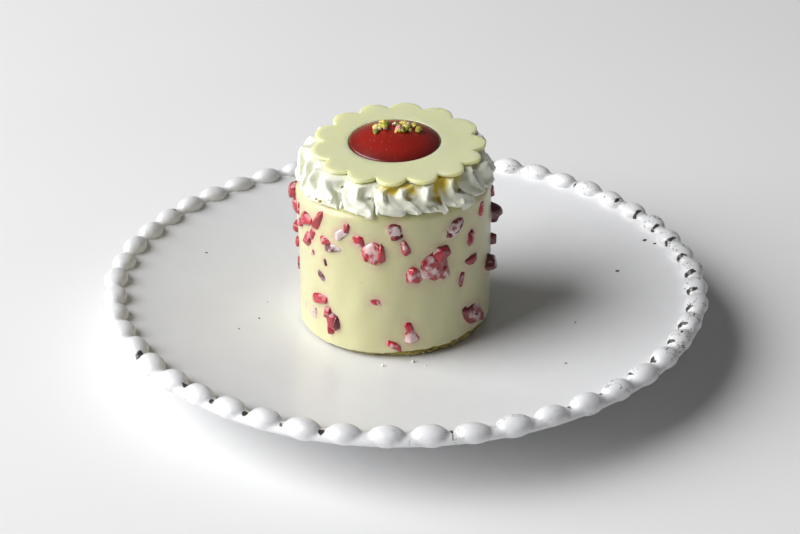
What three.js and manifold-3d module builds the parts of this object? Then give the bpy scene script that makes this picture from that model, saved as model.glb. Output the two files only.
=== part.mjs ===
// A small round cake in a pale glaze set with fruit bits, topped with piped cream, a scalloped
// chocolate disc and a domed jelly, on a white plate with a beaded rim.
// Millimetres, +Z up. The origin is the middle of the plate's foot, on the table.
// A turn is an angle round the vertical axis in degrees: 0 is the front (-Y), 90 the right (+X).
import * as THREE from 'three';
import { mergeVertices } from 'three/addons/utils/BufferGeometryUtils.js';
import Module from 'manifold-3d';

// Driving dimensions
const GAP = 0.3; // clearance between two pieces that touch
const SEED = 417;

const PLATE = {
  rimRadius: 99.2, // circle through the middles of the beads
  rimHeight: 20.8, // height of that circle
  wellHeight: 11, // flat surface that the cake stands on
  wellRadius: 41,
  slopeRadius: 95.5, // where the gentle slope ends under the beads
  slopeRise: 8.2,
  slopePower: 1.25,
  underside: [[0, 7.4], [52, 7.4], [52.8, 0], [57, 0], [58.4, 9.2], [70, 11.2], [86, 14.4],
    [97.5, 16.9]],
  lip: [[0.8, -1.8], [-1.2, -0.2]], // edge inside the beads, from the circle through their middles
  waviness: 0.012, // how far the hand-made rim leaves a true circle
  sides: 36,
};

const BEADS = {
  count: 50,
  firstTurn: 3.9,
  share: 0.8, // length of a bead as a share of the distance between two
  width: 7.8, // across the rim
  height: 5.3,
  neck: 0.6, // size of the neck between two beads as a share of a bead's
  unevenness: 0.05,
  shift: 0.3, // how far a bead may sit in or out of line
  samples: 4, // corners along each bead
  sides: 6, // corners round each bead
};

const CAKE = {
  x: -3.3, // the cake stands a little left and in front of the plate's middle
  y: -8.8,
  radius: 32,
  top: 61.9,
  shoulder: 1.8,
  skirt: 0.8, // thickness of the glaze that hangs over the biscuit
  biscuitHeight: 3.4,
  footHigh: 14.2, // highest reach of the ragged glaze foot, at the front right
  footLow: 11.6,
  sides: 52,
};

const CREAM = {
  frontTurns: [-38, -17, -1, 10, 26], // shells that show at the front
  others: 17, // shells evenly spaced round the rest
  innerRadius: 24,
  coreRadius: 28.5,
  thickness: 9.2, // of a piped shell at its widest
  points: 4, // star points of the piping tip
  groove: 0.72, // radius of a groove as a share of a ridge's
  twist: 70, // degrees a shell turns along its length
  swellFrom: 0.24, // a shell swells and thins as this stretch of a half wave does
  swellTo: 0.98,
  swellPower: 0.8,
  drop: 3.2, // from the disc's underside down to the middle of a shell's start
  // the stroke of a shell, seen from the front: out from under the disc, round to the left,
  // then down and right to a tip
  stroke: [[3, -20.5, 0.3], [0.4, -24.8, 0.3], [-2.3, -27.4, -0.8], [-2, -29, -2.6],
    [0.6, -30.6, -3.8], [3.8, -32.6, -4.8]],
};

const DISC = {
  x: -1.4,
  y: -8.5,
  top: 73.5,
  tilt: 4.5, // degrees, the back stands higher
  radius: 28.4,
  thickness: 1.3,
  // where the notches between the lobes lie, counted from the right and over the back
  notches: [-155, -130, -107, -84, -60, -36, -13, 12.5, 43, 70, 97, 122, 148, 175],
  notchDepth: 4,
  roundness: 0.75, // 0.5 is a round lobe, 1 is nearly pointed notches with flat flanks
  holeRadius: 15.05,
  holeX: -1.2,
  holeY: 1.2,
  wave: 0.35, // height of the slow bend round its edge
};

const JELLY = {
  rise: 3.4, // dome above the disc
  sides: 26,
  rings: 4,
};

// Fruit bits that show from the front: where they sit on the side, and their size
const FRONT_BITS = [
  { turn: 25, height: 43.5, wide: 9.5, tall: 11, proud: 1.4 },
  { turn: -11, height: 48.5, wide: 7.5, tall: 8.5, proud: 1.2 },
  { turn: -42, height: 20, wide: 7, tall: 9.5, proud: 1.3 },
  { turn: 56, height: 18.5, wide: 11, tall: 8, proud: 1.4 },
  { turn: 36, height: 54.5, wide: 8, tall: 6, proud: 1.1 },
  { turn: 49, height: 39.5, wide: 7, tall: 6, proud: 1 },
  { turn: 80, height: 35, wide: 8, tall: 5.5, proud: 2.6 },
  { turn: 88, height: 49, wide: 6, tall: 6, proud: 3 },
  { turn: -87, height: 58, wide: 6, tall: 6.5, proud: 2.8 },
  { turn: -80, height: 53, wide: 4.5, tall: 5, proud: 1 },
  { turn: 11, height: 41, wide: 4.7, tall: 6.5, proud: 1 },
  { turn: 8, height: 19.5, wide: 4.7, tall: 8.5, proud: 1.1 },
  { turn: 1, height: 55.5, wide: 5, tall: 5.5, proud: 1.1 },
  { turn: 7, height: 50.5, wide: 3.6, tall: 6, proud: 0.9 },
  { turn: -19, height: 53, wide: 4.2, tall: 4.6, proud: 0.9 },
  { turn: -30, height: 54.5, wide: 6.3, tall: 4, proud: 1 },
  { turn: -35, height: 48, wide: 5.5, tall: 3, proud: 0.7 },
  { turn: -43, height: 49.5, wide: 5, tall: 4, proud: 0.9 },
  { turn: -47, height: 55.5, wide: 3.2, tall: 6.2, proud: 0.9 },
  { turn: -62, height: 52.5, wide: 6.5, tall: 5, proud: 1.1 },
  { turn: -59, height: 46.5, wide: 5.5, tall: 4.5, proud: 1 },
  { turn: -85, height: 43, wide: 4.5, tall: 7, proud: 0.9 },
  { turn: -52, height: 26, wide: 6, tall: 4, proud: 0.8 },
  { turn: 50, height: 49.5, wide: 3.6, tall: 6.2, proud: 0.8 },
  { turn: 43, height: 35, wide: 3, tall: 6.5, proud: 0.7 },
  { turn: -11, height: 32.5, wide: 6.5, tall: 4, proud: 0.7 },
  { turn: 62, height: 57, wide: 4.2, tall: 6.5, proud: 0.8 },
];
const BACK_BITS = { count: 28, fromTurn: 98, toTurn: 264, lowest: 17, highest: 57, smallest: 3.5, largest: 9 };
const NUTS = {
  clusters: [{ x: -4.5, spread: 2.8 }, { x: 4.4, spread: 3.8 }],
  perCluster: 7,
  y: 3,
  depth: 3.6,
  smallest: 1.4,
  largest: 2.6,
};

const wasm = await Module();
wasm.setup();

// Repeatable random numbers between 0 and 1
function makeRandom(seed) {
  let state = seed;
  return () => {
    state = (state + 0x6d2b79f5) | 0;
    let mixed = Math.imul(state ^ (state >>> 15), 1 | state);
    mixed = (mixed + Math.imul(mixed ^ (mixed >>> 7), 61 | mixed)) ^ mixed;
    return ((mixed ^ (mixed >>> 14)) >>> 0) / 4294967296;
  };
}

const random = makeRandom(SEED);
const between = (low, high) => low + (high - low) * random();
const radians = THREE.MathUtils.degToRad;
const turnOf = (point, centreX = 0) => Math.atan2(point.x - centreX, -point.y);

// Moves every corner of a geometry by a rule
function reshaped(geometry, rule) {
  const position = geometry.attributes.position;
  const point = new THREE.Vector3();
  for (let i = 0; i < position.count; i += 1) {
    point.fromBufferAttribute(position, i);
    rule(point);
    position.setXYZ(i, point.x, point.y, point.z);
  }
  return geometry;
}

function toSolid(geometry) {
  const bare = geometry.clone();
  bare.deleteAttribute('normal');
  bare.deleteAttribute('uv');
  const merged = mergeVertices(bare, 1e-3);
  const corners = merged.index.array;
  const triangles = [];
  for (let i = 0; i < corners.length; i += 3) {
    const [a, b, c] = corners.slice(i, i + 3);
    if (a !== b && b !== c && c !== a) triangles.push(a, b, c);
  }
  return new wasm.Manifold(new wasm.Mesh({
    numProp: 3,
    vertProperties: new Float32Array(merged.attributes.position.array),
    triVerts: new Uint32Array(triangles),
  }));
}

function toGeometry(solid) {
  const mesh = solid.getMesh();
  const geometry = new THREE.BufferGeometry();
  geometry.setAttribute('position', new THREE.BufferAttribute(mesh.vertProperties, 3));
  geometry.setIndex(new THREE.BufferAttribute(mesh.triVerts, 1));
  geometry.computeVertexNormals();
  return geometry;
}

// Joins pieces pair by pair, which keeps each join small
function joined(solids) {
  let row = solids;
  while (row.length > 1) {
    const next = [];
    for (let i = 0; i < row.length; i += 2) {
      next.push(i + 1 < row.length ? row[i].add(row[i + 1]) : row[i]);
    }
    row = next;
  }
  return row[0];
}

// Turns a profile of [radius, height] pairs round the vertical axis
function turned(profile, sides) {
  const points = profile.map(([radius, height]) => new THREE.Vector2(radius, height));
  return new THREE.LatheGeometry(points, sides).rotateX(Math.PI / 2);
}

// An uneven lump with half sizes x, y and z; detail 1 has 80 faces and detail 0 has 20
function lump(halfSizes, detail, unevenness) {
  const geometry = mergeVertices(new THREE.IcosahedronGeometry(1, detail).deleteAttribute('uv')
    .deleteAttribute('normal'), 1e-3);
  return reshaped(geometry, (point) => {
    point.multiplyScalar(1 + unevenness * between(-1, 1));
    point.multiply(halfSizes);
  });
}

// Plate: a coupe on a foot ring, with its rim slightly out of round
function rimWave(turn) {
  return 1 + PLATE.waviness * (Math.cos(2 * turn - 0.9) + 0.7 * Math.cos(4 * turn + 0.3)) / 1.7;
}

function plateProfile() {
  const { rimRadius, rimHeight, wellHeight, wellRadius, slopeRadius, slopeRise, slopePower, underside } = PLATE;
  const slope = [1, 0.7, 0.4, 0.15, 0].map((share) => [
    wellRadius + (slopeRadius - wellRadius) * share,
    wellHeight + slopeRise * share ** slopePower,
  ]);
  const lip = PLATE.lip.map(([out, up]) => [rimRadius + out, rimHeight + up]);
  return [...underside, ...lip, ...slope, [0, wellHeight]];
}

// A ring that swells into a row of oblong beads
function beadRim() {
  const { count, share: length, width, height, neck, unevenness, samples, sides } = BEADS;
  const pitch = (2 * Math.PI) / count;
  const first = radians(BEADS.firstTurn);
  const beads = Array.from({ length: count }, () => ({
    swell: 1 + unevenness * between(-1, 1),
    shift: BEADS.shift * between(-1, 1),
  }));
  const ring = new THREE.TorusGeometry(PLATE.rimRadius, 1, sides, count * samples);
  reshaped(ring, (point) => {
    const turn = turnOf(point);
    const away = Math.hypot(point.x, point.y) - PLATE.rimRadius;
    const place = (turn / pitch + count) % count;
    const nearest = beads[Math.round(place) % count];
    const fullness = Math.sqrt(Math.max(0, 1 - ((2 * (place - Math.round(place))) / length) ** 2));
    const size = neck + (nearest.swell - neck) * fullness;
    const middle = PLATE.rimRadius * rimWave(turn + first) + nearest.shift * fullness;
    const radius = middle + (away * size * width) / 2;
    point.set(radius * Math.sin(turn), -radius * Math.cos(turn), (point.z * size * height) / 2);
  });
  return ring.rotateZ(first).translate(0, 0, PLATE.rimHeight);
}

function plate() {
  const dish = reshaped(turned(plateProfile(), PLATE.sides), (point) => {
    const share = Math.hypot(point.x, point.y) / PLATE.rimRadius;
    const grow = 1 + (rimWave(turnOf(point)) - 1) * share ** 4;
    point.x *= grow;
    point.y *= grow;
  });
  return toGeometry(toSolid(dish).add(toSolid(beadRim())));
}

// Biscuit: a thin crumbly round under the cake
function biscuit() {
  const bottom = PLATE.wellHeight + GAP;
  const top = bottom + CAKE.biscuitHeight - GAP;
  const radius = CAKE.radius - CAKE.skirt - GAP;
  const profile = [[0, bottom], [radius - 0.9, bottom], [radius, bottom + 0.9], [radius - 0.2, top - 0.6],
    [radius - 0.9, top], [0, top]];
  const geometry = reshaped(turned(profile, 36), (point) => {
    if (Math.hypot(point.x, point.y) < radius / 2) return;
    const turn = turnOf(point);
    const crumble = 0.35 * Math.sin(11 * turn + point.z) + 0.3 * Math.sin(23 * turn - 2 * point.z);
    const grow = 1 - (0.65 + crumble) / radius;
    point.x *= grow;
    point.y *= grow;
  });
  return toGeometry(toSolid(geometry)).translate(CAKE.x, CAKE.y, 0);
}

// The glaze hangs lowest at the left and back, and shows the biscuit at the front right
function glazeFoot(turn) {
  const bare = Math.max(0, Math.cos(turn - radians(38))) ** 1.5;
  const ragged = 0.25 * Math.sin(9 * turn) + 0.2 * Math.sin(17 * turn + 1);
  return CAKE.footLow + (CAKE.footHigh - CAKE.footLow) * bare * 0.85 + 0.45 * (ragged + 0.45);
}

function glazedSide() {
  const { radius, top, shoulder, skirt, biscuitHeight, footHigh } = CAKE;
  const inner = radius - skirt;
  const over = PLATE.wellHeight + biscuitHeight + GAP;
  const profile = [[0, over], [inner, over], [inner, 0], [radius - 0.1, 0], [radius, footHigh + 1.5],
    [radius, (footHigh + top) / 2], [radius, top - shoulder], [radius - shoulder * 0.3, top - shoulder * 0.3],
    [radius - shoulder, top], [0, top]];
  return reshaped(turned(profile, CAKE.sides), (point) => {
    const turn = turnOf(point);
    const reach = Math.hypot(point.x, point.y);
    if (point.z < 1e-6) point.z = glazeFoot(turn);
    if (reach < radius - shoulder) return;
    const swell = 0.22 * Math.sin(3 * turn + point.z / 17) + 0.16 * Math.sin(7 * turn - point.z / 9);
    point.x *= 1 + swell / radius;
    point.y *= 1 + swell / radius;
  });
}

// A fruit bit half sunk in the glaze
function fruitBit({ turn, height, wide, tall, proud }) {
  const angle = radians(turn);
  const depth = proud + 0.7;
  const large = wide * tall > 48;
  const half = new THREE.Vector3(wide / 2, depth, tall / 2);
  const geometry = lump(half, large ? 1 : 0, large ? 0.1 : 0.16);
  geometry.rotateY(between(-0.5, 0.5));
  geometry.rotateZ(angle);
  const reach = CAKE.radius + proud - depth;
  return geometry.translate(reach * Math.sin(angle), -reach * Math.cos(angle), height);
}

// The side that the view doesn't show carries bits as thickly, one to each stretch of the turn
function backBits() {
  const { count, fromTurn, toTurn, lowest, highest, smallest, largest } = BACK_BITS;
  return Array.from({ length: count }, (_, index) => {
    const size = smallest + (largest - smallest) * random() ** 2;
    return {
      turn: fromTurn + ((toTurn - fromTurn) * (index + between(0.1, 0.9))) / count,
      height: highest - (highest - lowest) * ((index * 0.618 + 0.2 * random()) % 1) ** 1.3,
      wide: size,
      tall: size * between(0.7, 1.2),
      proud: between(0.8, 1.6),
    };
  });
}

function glazedCake() {
  const bits = [...FRONT_BITS, ...backBits()].map((bit) => toSolid(fruitBit(bit)));
  return toGeometry(joined([toSolid(glazedSide()), ...bits])).translate(CAKE.x, CAKE.y, 0);
}

// The plane under the disc, tilted as the disc is
function discUnderside(y) {
  return DISC.top - DISC.thickness + (y - DISC.y) * Math.tan(radians(DISC.tilt));
}

// A slab above that plane, which flattens what the disc presses on
function discPress() {
  const width = 2 * (DISC.radius + DISC.wave);
  const height = 20;
  const press = new THREE.CylinderGeometry(width / 2, width / 2, height, 32).rotateX(Math.PI / 2);
  press.translate(0, 0, height / 2 - DISC.thickness - GAP - DISC.wave);
  return toSolid(press.rotateX(radians(DISC.tilt)).translate(DISC.x, DISC.y, DISC.top));
}

// Room for the cream between the cake's top and the disc, below a shell's middle
function creamRoom(turn) {
  return discUnderside(CAKE.y - CREAM.innerRadius * Math.cos(turn)) - CAKE.top - GAP;
}

function shellTurns() {
  const { frontTurns, others } = CREAM;
  const last = frontTurns[frontTurns.length - 1];
  const step = (360 + frontTurns[0] - last) / (others + 1);
  return [...frontTurns, ...Array.from({ length: others }, (_, index) => last + step * (index + 1))];
}

// A star-shaped rope of cream that swells, twists and ends in a drawn-out tip
function shell(degrees) {
  const turn = radians(degrees);
  const size = between(0.95, 1.05);
  const stretch = creamRoom(turn) / creamRoom(0);
  const places = CREAM.stroke.map(([x, y, z]) => new THREE.Vector3(x, y, z * stretch));
  const stroke = new THREE.CatmullRomCurve3(places);
  const { thickness, swellFrom, swellTo, swellPower } = CREAM;
  const rope = new THREE.CylinderGeometry(1, 1, 1, 2 * CREAM.points, 5);
  const up = new THREE.Vector3(0, 0, 1);
  reshaped(rope, (point) => {
    const share = 0.5 - point.y;
    const inside = Math.min(0.999, Math.max(0.001, share));
    const along = stroke.getTangent(inside);
    const across = new THREE.Vector3().crossVectors(along, up).normalize();
    const lift = new THREE.Vector3().crossVectors(across, along);
    const angle = Math.atan2(point.x, point.z);
    const ridge = Math.cos(CREAM.points * angle) > 0 ? 1 : CREAM.groove;
    const wave = Math.sin(Math.PI * (swellFrom + (swellTo - swellFrom) * share));
    const swell = (thickness / 2) * size * Math.max(0.1, wave ** swellPower);
    const radius = Math.hypot(point.x, point.z) < 0.5 ? 0 : swell * ridge;
    const twisted = angle + radians(CREAM.twist) * share;
    point.copy(stroke.getPoint(inside)).addScaledVector(across, radius * Math.cos(twisted));
    point.addScaledVector(lift, radius * stretch * Math.sin(twisted));
  });
  const height = CAKE.top + GAP + creamRoom(turn) - CREAM.drop * stretch;
  return rope.rotateZ(turn).translate(CAKE.x, CAKE.y, height);
}

function creamBed() {
  const bottom = CAKE.top + GAP;
  const { coreRadius, innerRadius } = CREAM;
  const profile = [[0, bottom], [coreRadius, bottom], [coreRadius + 0.4, bottom + 2],
    [innerRadius + 2, bottom + 8.5], [innerRadius, bottom + 14], [0, bottom + 14]];
  return turned(profile, 20).translate(CAKE.x, CAKE.y, 0);
}

// Nothing of the cream reaches down into the cake's top
function cakeTopPress() {
  const press = new THREE.CylinderGeometry(CAKE.radius + 0.6, CAKE.radius + 0.6, 30, 32).rotateX(Math.PI / 2);
  return toSolid(press.translate(CAKE.x, CAKE.y, CAKE.top + GAP - 15));
}

function pipedCream() {
  const shells = shellTurns().map((turn) => toSolid(shell(turn)));
  const ring = joined([toSolid(creamBed()), ...shells]);
  return toGeometry(ring.subtract(discPress()).subtract(cakeTopPress()));
}

// Disc: rounded lobes with sharp notches between them, and an off-centre hole
function discOutline() {
  const { notches, roundness, radius, notchDepth } = DISC;
  const steps = 5;
  return notches.flatMap((notch, index) => {
    const next = index + 1 < notches.length ? notches[index + 1] : notches[0] + 360;
    return Array.from({ length: steps }, (_, step) => {
      const lobe = Math.sin((Math.PI * step) / steps) ** roundness;
      const reach = radius - notchDepth * (1 - lobe);
      const angle = radians(notch + ((next - notch) * step) / steps);
      return new THREE.Vector2(reach * Math.cos(angle), reach * Math.sin(angle));
    });
  });
}

function onTiltedDisc(geometry) {
  return geometry.rotateX(radians(DISC.tilt)).translate(DISC.x, DISC.y, DISC.top);
}

function chocolateDisc() {
  const outline = new THREE.Shape(discOutline());
  const hole = new THREE.Path().absarc(DISC.holeX, DISC.holeY, DISC.holeRadius, 0, 2 * Math.PI, true);
  outline.holes.push(hole);
  const edge = 0.35;
  const slab = new THREE.ExtrudeGeometry(outline, {
    depth: DISC.thickness - 2 * edge,
    bevelSize: edge,
    bevelThickness: edge,
    bevelOffset: -edge,
    bevelSegments: 1,
    curveSegments: 12,
  });
  slab.translate(0, 0, edge - DISC.thickness);
  reshaped(slab, (point) => {
    const share = Math.hypot(point.x, point.y) / DISC.radius;
    point.z += DISC.wave * share ** 2 * Math.sin(2 * turnOf(point) + 1.2);
  });
  return toGeometry(toSolid(onTiltedDisc(slab)));
}

// Jelly: a shallow dome that fills the hole, with chopped nuts near its crown
function domeHeight(distance) {
  const radius = DISC.holeRadius - GAP;
  return JELLY.rise * (1 - (distance / radius) ** 2.2);
}

function chopNuts() {
  return NUTS.clusters.flatMap((cluster) => Array.from({ length: NUTS.perCluster }, () => {
    const size = between(NUTS.smallest, NUTS.largest) / 2;
    const x = cluster.x + cluster.spread * between(-1, 1);
    const y = NUTS.y + NUTS.depth * between(-1, 1);
    const crumb = lump(new THREE.Vector3(size, size * 0.8, size * 0.75), 0, 0.2);
    crumb.rotateZ(between(0, Math.PI)).rotateX(between(0, 1));
    return crumb.translate(x, y, domeHeight(Math.hypot(x, y)) + size * 0.45);
  }));
}

function jelly() {
  const radius = DISC.holeRadius - GAP;
  const shares = Array.from({ length: JELLY.rings + 1 }, (_, index) => 1 - index / JELLY.rings);
  const crown = shares.map((share) => [radius * share, domeHeight(radius * share)]);
  const profile = [[0, -DISC.thickness], [radius, -DISC.thickness], ...crown];
  const dome = toSolid(turned(profile, JELLY.sides));
  const solid = toGeometry(joined([dome, ...chopNuts().map(toSolid)]));
  return onTiltedDisc(solid.translate(DISC.holeX, DISC.holeY, 0));
}

const porcelain = new THREE.MeshStandardMaterial({ color: 0xf2f1ee, roughness: 0.22 });
const biscuitCrumb = new THREE.MeshStandardMaterial({ color: 0xa8913f, roughness: 0.9 });
const paleGlaze = new THREE.MeshStandardMaterial({ color: 0xdcd7aa, roughness: 0.45 });
const whippedCream = new THREE.MeshStandardMaterial({ color: 0xf4f1e6, roughness: 0.6 });
const paleChocolate = new THREE.MeshStandardMaterial({ color: 0xe0dca8, roughness: 0.4 });
const redJelly = new THREE.MeshStandardMaterial({ color: 0x9a140c, roughness: 0.25 });

function named(name, geometry, material) {
  const mesh = new THREE.Mesh(geometry, material);
  mesh.name = name;
  return mesh;
}

const cakeOnPlate = new THREE.Group();
cakeOnPlate.add(
  named('plate', plate(), porcelain),
  named('biscuit', biscuit(), biscuitCrumb),
  named('glazed_cake', glazedCake(), paleGlaze),
  named('piped_cream', pipedCream(), whippedCream),
  named('chocolate_disc', chocolateDisc(), paleChocolate),
  named('jelly_dome', jelly(), redJelly),
);

export default cakeOnPlate;
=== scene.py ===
import math
import random

import bpy
import numpy
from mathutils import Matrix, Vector, noise


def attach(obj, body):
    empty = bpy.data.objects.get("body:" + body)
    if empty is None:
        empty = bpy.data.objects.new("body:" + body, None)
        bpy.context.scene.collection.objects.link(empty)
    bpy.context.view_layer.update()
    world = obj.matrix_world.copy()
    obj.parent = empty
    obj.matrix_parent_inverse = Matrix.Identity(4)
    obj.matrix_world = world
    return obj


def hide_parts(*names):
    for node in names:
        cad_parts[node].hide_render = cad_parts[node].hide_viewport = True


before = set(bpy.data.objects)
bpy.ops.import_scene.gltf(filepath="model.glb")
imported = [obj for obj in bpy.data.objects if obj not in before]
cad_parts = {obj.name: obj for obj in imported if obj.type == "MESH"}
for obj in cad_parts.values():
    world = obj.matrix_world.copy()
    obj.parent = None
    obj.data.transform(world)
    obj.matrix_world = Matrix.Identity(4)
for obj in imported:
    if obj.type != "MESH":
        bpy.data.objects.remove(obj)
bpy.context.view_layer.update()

# A small glazed cake with fruit bits, piped cream, a scalloped disc and a jelly dome, on a beaded
# plate. Sizes are in millimetres. A turn is an angle round the upright axis: 0 is the front and
# 90 the right.
mm = 0.001
cakeX, cakeY = -3.3, -8.8  # the cake stands a little left and in front of the plate's middle
discPlace = {"x": -1.4, "y": -8.5, "top": 73.5, "tilt": 4.5, "thickness": 1.3, "radius": 28.4}
jellyPlace = {"x": -1.2, "y": 1.2, "hole": 15.05}  # the hole, measured from the disc's middle


# Small helpers
def clearSelection():
    active = bpy.context.view_layer.objects.active
    if active and active.mode != "OBJECT":
        bpy.ops.object.mode_set(mode="OBJECT")
    bpy.ops.object.select_all(action="DESELECT")


def pickOnly(piece, *others):
    clearSelection()
    for other in (piece, *others):
        other.select_set(True)
    bpy.context.view_layer.objects.active = piece
    return piece


def editAll(piece):
    pickOnly(piece)
    bpy.ops.object.mode_set(mode="EDIT")
    bpy.ops.mesh.select_all(action="SELECT")


def settle(piece):  # puts the place, turn and size into the mesh
    pickOnly(piece)
    bpy.ops.object.transform_apply(location=True, rotation=True, scale=True)
    return piece


def applyModifier(piece, kind, **values):
    pickOnly(piece)
    modifier = piece.modifiers.new(kind, kind)
    for name, value in values.items():
        setattr(modifier, name, value)
    bpy.ops.object.modifier_apply(modifier=modifier.name)
    return piece


def smoothOver(piece, levels):
    return applyModifier(piece, "SUBSURF", levels=levels, render_levels=levels)


def melt(piece, voxel, passes):  # runs touching lumps into one skin
    applyModifier(piece, "REMESH", mode="VOXEL", voxel_size=voxel * mm, use_smooth_shade=True)
    if passes:
        applyModifier(piece, "SMOOTH", factor=0.5, iterations=passes)
    return piece


def joinUp(name, pieces):
    pickOnly(*pieces)
    bpy.ops.object.join()
    joined = bpy.context.object
    joined.name = joined.data.name = name
    return joined


def twinOf(piece):
    twin = piece.copy()
    twin.data = piece.data.copy()
    bpy.context.collection.objects.link(twin)
    return twin


def throwAway(*pieces):
    for piece in pieces:
        bpy.data.objects.remove(piece)


def jitter(pick, amount):
    return pick.uniform(-amount, amount)


def ontoAxis(piece):  # from the cake's own axis to its place on the plate
    piece.location = (cakeX * mm, cakeY * mm, 0)
    return settle(piece)


def ontoCake(piece):  # from the disc's own level frame to its tilted place
    pickOnly(piece)
    piece.rotation_euler.x = math.radians(discPlace["tilt"])
    piece.location = Vector((discPlace["x"], discPlace["y"], discPlace["top"])) * mm
    return settle(piece)


def reshape(piece, rule):  # moves every point by a rule that works in millimetres
    for vertex in piece.data.vertices:
        vertex.co = Vector(rule(vertex.co / mm)) * mm
    piece.data.update()
    return piece


def turnOf(point):
    return math.atan2(point.x, -point.y)


def around(turn, radius, height):  # a place from a turn in degrees
    angle = math.radians(turn)
    return Vector((radius * math.sin(angle), -radius * math.cos(angle), height)) * mm


def pointsOf(piece):  # every point's x, y and z in millimetres
    places = numpy.zeros(len(piece.data.vertices) * 3)
    piece.data.vertices.foreach_get("co", places)
    return places.reshape(-1, 3).T / mm


def turnsFrom(x, y, turn):  # how far round each point lies from a turn, in radians
    return numpy.radians((numpy.degrees(numpy.arctan2(x, -y)) - turn + 180) % 360 - 180)


def mark(piece, name, values):  # one value for every point, for the material to read
    piece.data.attributes.new(name, "FLOAT", "POINT").data.foreach_set("value", values)


def drawInStep(piece, steps, step, share):  # draws in one of every few points of a circle
    bpy.ops.object.mode_set(mode="EDIT")
    bpy.ops.mesh.select_all(action="DESELECT")
    bpy.ops.object.mode_set(mode="OBJECT")
    for vertex in piece.data.vertices:
        vertex.select = vertex.index % steps == step
    bpy.ops.object.mode_set(mode="EDIT")
    bpy.ops.transform.resize(value=(share, share, 1), center_override=(0, 0, 0))


def closeForm():  # fills both ends of the form in edit mode and turns its faces outwards
    bpy.ops.mesh.select_all(action="SELECT")
    bpy.ops.mesh.fill_holes(sides=0)
    bpy.ops.mesh.select_all(action="SELECT")
    bpy.ops.mesh.normals_make_consistent(inside=False)
    bpy.ops.object.mode_set(mode="OBJECT")


# A round form: a circle pulled up ring by ring through [radius, height] pairs, closed at both ends
def ringUp(name, profile, sides):
    radius, height = profile[0]
    clearSelection()
    bpy.ops.mesh.primitive_circle_add(
        vertices=sides, radius=radius * mm, location=(0, 0, height * mm))
    piece = settle(bpy.context.object)
    piece.name = name
    editAll(piece)
    for nextRadius, nextHeight in profile[1:]:
        rise = (nextHeight - height) * mm
        bpy.ops.mesh.extrude_region_move(TRANSFORM_OT_translate={"value": (0, 0, rise)})
        grow = nextRadius / radius
        bpy.ops.transform.resize(value=(grow, grow, 1), center_override=(0, 0, nextHeight * mm))
        radius, height = nextRadius, nextHeight
    closeForm()
    bpy.ops.object.shade_smooth()
    return piece


# An uneven lump about 2 across, roughened once and then rounded
def modelLump(detail, roughness, seed, crease=0.0, levels=2):
    clearSelection()
    bpy.ops.mesh.primitive_ico_sphere_add(subdivisions=detail, radius=mm)
    lump = bpy.context.object
    editAll(lump)
    bpy.ops.transform.vertex_random(offset=roughness * mm, seed=seed)
    if crease:
        bpy.ops.transform.edge_crease(value=crease)
    bpy.ops.object.mode_set(mode="OBJECT")
    bpy.ops.object.shade_smooth()
    return smoothOver(lump, levels)


def finishPiece(piece, material, node):
    piece.data.materials.clear()
    piece.data.materials.append(material)
    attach(piece, "root")
    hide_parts(node)
    return piece


# Material helpers
def addNode(tree, kind, settings=None, values=None):
    node = tree.nodes.new("ShaderNode" + kind)
    for name, value in (settings or {}).items():
        setattr(node, name, value)
    for name, value in (values or {}).items():
        node.inputs[name].default_value = value
    return node


def feed(tree, socket, value):  # sets a number or colour on a socket, or links a socket to it
    if isinstance(value, (int, float)):
        socket.default_value = value
    elif isinstance(value, tuple):
        socket.default_value = (*value, 1.0)
    else:
        tree.links.new(value, socket)


def blend(tree, factor, first, second):  # first and second are colours or sockets
    mix = addNode(tree, "Mix", {"data_type": "RGBA"})
    for index, value in ((0, factor), (6, first), (7, second)):
        feed(tree, mix.inputs[index], value)
    return mix.outputs[2]


def calc(tree, operation, first, second=0.0, clamp=False):
    node = addNode(tree, "Math", {"operation": operation, "use_clamp": clamp})
    feed(tree, node.inputs[0], first)
    feed(tree, node.inputs[1], second)
    return node.outputs[0]


def times(tree, first, second):
    return calc(tree, "MULTIPLY", first, second)


def between(tree, value, low, high, newLow=0.0, newHigh=1.0, kind="LINEAR"):
    node = addNode(tree, "MapRange", {"interpolation_type": kind})
    sides = {"Value": value, "From Min": low, "From Max": high, "To Min": newLow, "To Max": newHigh}
    for name, side in sides.items():
        feed(tree, node.inputs[name], side)
    return node.outputs["Result"]


def attribute(tree, name):
    return addNode(tree, "Attribute", {"attribute_name": name}).outputs["Fac"]


def objectPlace(tree):
    return addNode(tree, "TexCoord").outputs["Object"]


def raggedPlace(tree, fineness):  # Object coordinates, shaken so that round marks turn ragged
    place = objectPlace(tree)
    wobble = addNode(tree, "TexNoise", None, {"Scale": fineness, "Detail": 1.0})
    reach = (0.6 * mm,) * 3
    shift = addNode(tree, "VectorMath", {"operation": "MULTIPLY_ADD"}, {1: reach})
    tree.links.new(place, wobble.inputs["Vector"])
    tree.links.new(wobble.outputs["Color"], shift.inputs[0])
    tree.links.new(place, shift.inputs[2])
    return shift.outputs[0]


def splitPlace(tree, place):
    apart = addNode(tree, "SeparateXYZ")
    tree.links.new(place, apart.inputs[0])
    return apart.outputs


def awayFrom(tree, place, x, y):  # distance of a place from an upright line, in metres
    sides = splitPlace(tree, place)
    across, inward = calc(tree, "SUBTRACT", sides["X"], x), calc(tree, "SUBTRACT", sides["Y"], y)
    squares = [calc(tree, "POWER", side, 2.0) for side in (across, inward)]
    return calc(tree, "SQRT", calc(tree, "ADD", *squares))


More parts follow.
